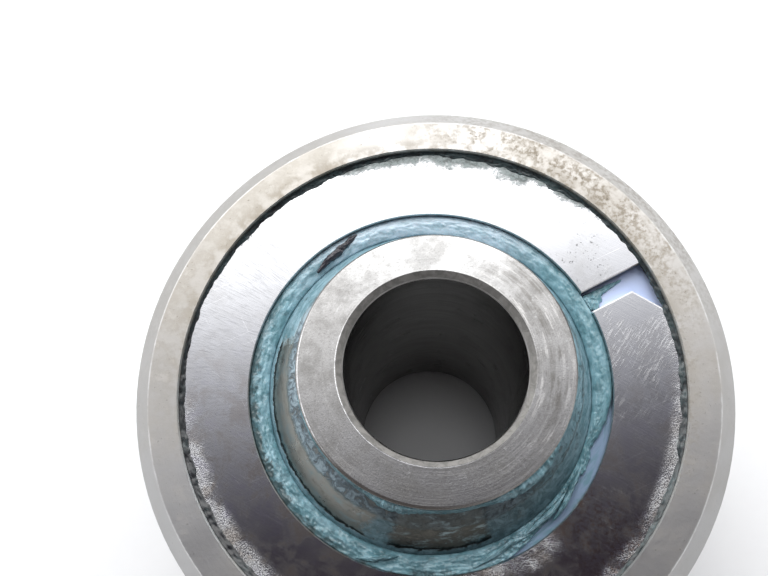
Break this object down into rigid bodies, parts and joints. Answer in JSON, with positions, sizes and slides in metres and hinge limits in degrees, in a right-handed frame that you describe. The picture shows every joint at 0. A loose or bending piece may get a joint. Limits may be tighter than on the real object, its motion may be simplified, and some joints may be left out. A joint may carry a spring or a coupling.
{
  "type": "self-aligning ball bearing",
  "caption": "Sealed double-row self-aligning ball bearing with a bored inner ring that turns and swivels in a one-piece outer ring.",
  "frame": {"origin": "the bearing's centre, where the bore axis meets the middle plane and about which the bearing swivels", "axes": "+Z along the inner ring's bore; the outer ring's axis leans 4.2 degrees from it at rest, towards -X and -Y"},
  "size_m": [0.0438, 0.044, 0.0286],
  "materials": {
    "inner_ring_steel": "ground, with fine circular marks on the end face",
    "outer_ring_plating": "satin warm-grey plating, stained in patches",
    "snap_ring_steel": "polished flat spring steel with fine scratches",
    "seal_ptfe": "smooth, slightly waxy",
    "ball_steel": "polished",
    "cage_brass": "machined",
    "grease": "wet, lumpy blue-green grease"
  },
  "bodies": {
    "inner_ring": {"inner_ring": "inner_ring_steel"},
    "seals": {"seal_upper": "seal_ptfe", "seal_lower": "seal_ptfe"},
    "outer_ring": {"outer_ring": "outer_ring_plating", "snap_ring_upper": "snap_ring_steel", "snap_ring_lower": "snap_ring_steel"},
    "ball_cage": {"ball_cage": "cage_brass"},
    "ball_upper_01": {"ball_upper_01": "ball_steel"},
    "ball_upper_02": {"ball_upper_02": "ball_steel"},
    "ball_upper_03": {"ball_upper_03": "ball_steel"},
    "ball_upper_04": {"ball_upper_04": "ball_steel"},
    "ball_upper_05": {"ball_upper_05": "ball_steel"},
    "ball_upper_06": {"ball_upper_06": "ball_steel"},
    "ball_upper_07": {"ball_upper_07": "ball_steel"},
    "ball_upper_08": {"ball_upper_08": "ball_steel"},
    "ball_upper_09": {"ball_upper_09": "ball_steel"},
    "ball_upper_10": {"ball_upper_10": "ball_steel"},
    "ball_upper_11": {"ball_upper_11": "ball_steel"},
    "ball_upper_12": {"ball_upper_12": "ball_steel"},
    "ball_upper_13": {"ball_upper_13": "ball_steel"},
    "ball_upper_14": {"ball_upper_14": "ball_steel"},
    "ball_upper_15": {"ball_upper_15": "ball_steel"},
    "ball_lower_01": {"ball_lower_01": "ball_steel"},
    "ball_lower_02": {"ball_lower_02": "ball_steel"},
    "ball_lower_03": {"ball_lower_03": "ball_steel"},
    "ball_lower_04": {"ball_lower_04": "ball_steel"},
    "ball_lower_05": {"ball_lower_05": "ball_steel"},
    "ball_lower_06": {"ball_lower_06": "ball_steel"},
    "ball_lower_07": {"ball_lower_07": "ball_steel"},
    "ball_lower_08": {"ball_lower_08": "ball_steel"},
    "ball_lower_09": {"ball_lower_09": "ball_steel"},
    "ball_lower_10": {"ball_lower_10": "ball_steel"},
    "ball_lower_11": {"ball_lower_11": "ball_steel"},
    "ball_lower_12": {"ball_lower_12": "ball_steel"},
    "ball_lower_13": {"ball_lower_13": "ball_steel"},
    "ball_lower_14": {"ball_lower_14": "ball_steel"},
    "ball_lower_15": {"ball_lower_15": "ball_steel"}
  },
  "joints": [
    {"name": "swivel", "type": "hinge", "parent": "inner_ring", "child": "seals", "pos_m": [0, 0, 0], "axis": [0.7923, -0.6101, 0], "range_deg": [-14.2, 5.8]},
    {"name": "outer_ring_turn", "type": "hinge", "parent": "seals", "child": "outer_ring", "pos_m": [0, 0, 0], "axis": [-0.0447, -0.058, 0.9973], "continuous": true},
    {"name": "cage_orbit", "type": "hinge", "parent": "inner_ring", "child": "ball_cage", "pos_m": [0, 0, 0], "axis": [0, 0, 1], "continuous": true},
    {"name": "ball_upper_01_roll", "type": "hinge", "parent": "ball_cage", "child": "ball_upper_01", "pos_m": [0.01577, 0, 0.0032], "axis": [-0.199, 0, 0.98], "continuous": true},
    {"name": "ball_upper_02_roll", "type": "hinge", "parent": "ball_cage", "child": "ball_upper_02", "pos_m": [0.0144, 0.00641, 0.0032], "axis": [-0.1818, -0.0809, 0.98], "continuous": true},
    {"name": "ball_upper_03_roll", "type": "hinge", "parent": "ball_cage", "child": "ball_upper_03", "pos_m": [0.01055, 0.01172, 0.0032], "axis": [-0.1331, -0.1479, 0.98], "continuous": true},
    {"name": "ball_upper_04_roll", "type": "hinge", "parent": "ball_cage", "child": "ball_upper_04", "pos_m": [0.00487, 0.015, 0.0032], "axis": [-0.0615, -0.1892, 0.98], "continuous": true},
    {"name": "ball_upper_05_roll", "type": "hinge", "parent": "ball_cage", "child": "ball_upper_05", "pos_m": [-0.00165, 0.01568, 0.0032], "axis": [0.0208, -0.1979, 0.98], "continuous": true},
    {"name": "ball_upper_06_roll", "type": "hinge", "parent": "ball_cage", "child": "ball_upper_06", "pos_m": [-0.00788, 0.01366, 0.0032], "axis": [0.0995, -0.1723, 0.98], "continuous": true},
    {"name": "ball_upper_07_roll", "type": "hinge", "parent": "ball_cage", "child": "ball_upper_07", "pos_m": [-0.01276, 0.00927, 0.0032], "axis": [0.161, -0.1169, 0.98], "continuous": true},
    {"name": "ball_upper_08_roll", "type": "hinge", "parent": "ball_cage", "child": "ball_upper_08", "pos_m": [-0.01542, 0.00328, 0.0032], "axis": [0.1946, -0.0414, 0.98], "continuous": true},
    {"name": "ball_upper_09_roll", "type": "hinge", "parent": "ball_cage", "child": "ball_upper_09", "pos_m": [-0.01542, -0.00328, 0.0032], "axis": [0.1946, 0.0414, 0.98], "continuous": true},
    {"name": "ball_upper_10_roll", "type": "hinge", "parent": "ball_cage", "child": "ball_upper_10", "pos_m": [-0.01276, -0.00927, 0.0032], "axis": [0.161, 0.1169, 0.98], "continuous": true},
    {"name": "ball_upper_11_roll", "type": "hinge", "parent": "ball_cage", "child": "ball_upper_11", "pos_m": [-0.00788, -0.01366, 0.0032], "axis": [0.0995, 0.1723, 0.98], "continuous": true},
    {"name": "ball_upper_12_roll", "type": "hinge", "parent": "ball_cage", "child": "ball_upper_12", "pos_m": [-0.00165, -0.01568, 0.0032], "axis": [0.0208, 0.1979, 0.98], "continuous": true},
    {"name": "ball_upper_13_roll", "type": "hinge", "parent": "ball_cage", "child": "ball_upper_13", "pos_m": [0.00487, -0.015, 0.0032], "axis": [-0.0615, 0.1892, 0.98], "continuous": true},
    {"name": "ball_upper_14_roll", "type": "hinge", "parent": "ball_cage", "child": "ball_upper_14", "pos_m": [0.01055, -0.01172, 0.0032], "axis": [-0.1331, 0.1479, 0.98], "continuous": true},
    {"name": "ball_upper_15_roll", "type": "hinge", "parent": "ball_cage", "child": "ball_upper_15", "pos_m": [0.0144, -0.00641, 0.0032], "axis": [-0.1818, 0.0809, 0.98], "continuous": true},
    {"name": "ball_lower_01_roll", "type": "hinge", "parent": "ball_cage", "child": "ball_lower_01", "pos_m": [0.01542, 0.00328, -0.0032], "axis": [0.1946, 0.0414, 0.98], "continuous": true},
    {"name": "ball_lower_02_roll", "type": "hinge", "parent": "ball_cage", "child": "ball_lower_02", "pos_m": [0.01276, 0.00927, -0.0032], "axis": [0.161, 0.1169, 0.98], "continuous": true},
    {"name": "ball_lower_03_roll", "type": "hinge", "parent": "ball_cage", "child": "ball_lower_03", "pos_m": [0.00788, 0.01366, -0.0032], "axis": [0.0995, 0.1723, 0.98], "continuous": true},
    {"name": "ball_lower_04_roll", "type": "hinge", "parent": "ball_cage", "child": "ball_lower_04", "pos_m": [0.00165, 0.01568, -0.0032], "axis": [0.0208, 0.1979, 0.98], "continuous": true},
    {"name": "ball_lower_05_roll", "type": "hinge", "parent": "ball_cage", "child": "ball_lower_05", "pos_m": [-0.00487, 0.015, -0.0032], "axis": [-0.0615, 0.1892, 0.98], "continuous": true},
    {"name": "ball_lower_06_roll", "type": "hinge", "parent": "ball_cage", "child": "ball_lower_06", "pos_m": [-0.01055, 0.01172, -0.0032], "axis": [-0.1331, 0.1479, 0.98], "continuous": true},
    {"name": "ball_lower_07_roll", "type": "hinge", "parent": "ball_cage", "child": "ball_lower_07", "pos_m": [-0.0144, 0.00641, -0.0032], "axis": [-0.1818, 0.0809, 0.98], "continuous": true},
    {"name": "ball_lower_08_roll", "type": "hinge", "parent": "ball_cage", "child": "ball_lower_08", "pos_m": [-0.01577, 0, -0.0032], "axis": [-0.199, 0, 0.98], "continuous": true},
    {"name": "ball_lower_09_roll", "type": "hinge", "parent": "ball_cage", "child": "ball_lower_09", "pos_m": [-0.0144, -0.00641, -0.0032], "axis": [-0.1818, -0.0809, 0.98], "continuous": true},
    {"name": "ball_lower_10_roll", "type": "hinge", "parent": "ball_cage", "child": "ball_lower_10", "pos_m": [-0.01055, -0.01172, -0.0032], "axis": [-0.1331, -0.1479, 0.98], "continuous": true},
    {"name": "ball_lower_11_roll", "type": "hinge", "parent": "ball_cage", "child": "ball_lower_11", "pos_m": [-0.00487, -0.015, -0.0032], "axis": [-0.0615, -0.1892, 0.98], "continuous": true},
    {"name": "ball_lower_12_roll", "type": "hinge", "parent": "ball_cage", "child": "ball_lower_12", "pos_m": [0.00165, -0.01568, -0.0032], "axis": [0.0208, -0.1979, 0.98], "continuous": true},
    {"name": "ball_lower_13_roll", "type": "hinge", "parent": "ball_cage", "child": "ball_lower_13", "pos_m": [0.00788, -0.01366, -0.0032], "axis": [0.0995, -0.1723, 0.98], "continuous": true},
    {"name": "ball_lower_14_roll", "type": "hinge", "parent": "ball_cage", "child": "ball_lower_14", "pos_m": [0.01276, -0.00927, -0.0032], "axis": [0.161, -0.1169, 0.98], "continuous": true},
    {"name": "ball_lower_15_roll", "type": "hinge", "parent": "ball_cage", "child": "ball_lower_15", "pos_m": [0.01542, -0.00328, -0.0032], "axis": [0.1946, -0.0414, 0.98], "continuous": true}
  ],
  "couplings": [
    {"joint": "cage_orbit", "follows": "outer_ring_turn", "ratio": 0.574},
    {"joint": "ball_upper_01_roll", "follows": "outer_ring_turn", "ratio": 3.2384},
    {"joint": "ball_upper_02_roll", "follows": "outer_ring_turn", "ratio": 3.2384},
    {"joint": "ball_upper_03_roll", "follows": "outer_ring_turn", "ratio": 3.2384},
    {"joint": "ball_upper_04_roll", "follows": "outer_ring_turn", "ratio": 3.2384},
    {"joint": "ball_upper_05_roll", "follows": "outer_ring_turn", "ratio": 3.2384},
    {"joint": "ball_upper_06_roll", "follows": "outer_ring_turn", "ratio": 3.2384},
    {"joint": "ball_upper_07_roll", "follows": "outer_ring_turn", "ratio": 3.2384},
    {"joint": "ball_upper_08_roll", "follows": "outer_ring_turn", "ratio": 3.2384},
    {"joint": "ball_upper_09_roll", "follows": "outer_ring_turn", "ratio": 3.2384},
    {"joint": "ball_upper_10_roll", "follows": "outer_ring_turn", "ratio": 3.2384},
    {"joint": "ball_upper_11_roll", "follows": "outer_ring_turn", "ratio": 3.2384},
    {"joint": "ball_upper_12_roll", "follows": "outer_ring_turn", "ratio": 3.2384},
    {"joint": "ball_upper_13_roll", "follows": "outer_ring_turn", "ratio": 3.2384},
    {"joint": "ball_upper_14_roll", "follows": "outer_ring_turn", "ratio": 3.2384},
    {"joint": "ball_upper_15_roll", "follows": "outer_ring_turn", "ratio": 3.2384},
    {"joint": "ball_lower_01_roll", "follows": "outer_ring_turn", "ratio": 3.2384},
    {"joint": "ball_lower_02_roll", "follows": "outer_ring_turn", "ratio": 3.2384},
    {"joint": "ball_lower_03_roll", "follows": "outer_ring_turn", "ratio": 3.2384},
    {"joint": "ball_lower_04_roll", "follows": "outer_ring_turn", "ratio": 3.2384},
    {"joint": "ball_lower_05_roll", "follows": "outer_ring_turn", "ratio": 3.2384},
    {"joint": "ball_lower_06_roll", "follows": "outer_ring_turn", "ratio": 3.2384},
    {"joint": "ball_lower_07_roll", "follows": "outer_ring_turn", "ratio": 3.2384},
    {"joint": "ball_lower_08_roll", "follows": "outer_ring_turn", "ratio": 3.2384},
    {"joint": "ball_lower_09_roll", "follows": "outer_ring_turn", "ratio": 3.2384},
    {"joint": "ball_lower_10_roll", "follows": "outer_ring_turn", "ratio": 3.2384},
    {"joint": "ball_lower_11_roll", "follows": "outer_ring_turn", "ratio": 3.2384},
    {"joint": "ball_lower_12_roll", "follows": "outer_ring_turn", "ratio": 3.2384},
    {"joint": "ball_lower_13_roll", "follows": "outer_ring_turn", "ratio": 3.2384},
    {"joint": "ball_lower_14_roll", "follows": "outer_ring_turn", "ratio": 3.2384},
    {"joint": "ball_lower_15_roll", "follows": "outer_ring_turn", "ratio": 3.2384}
  ]
}
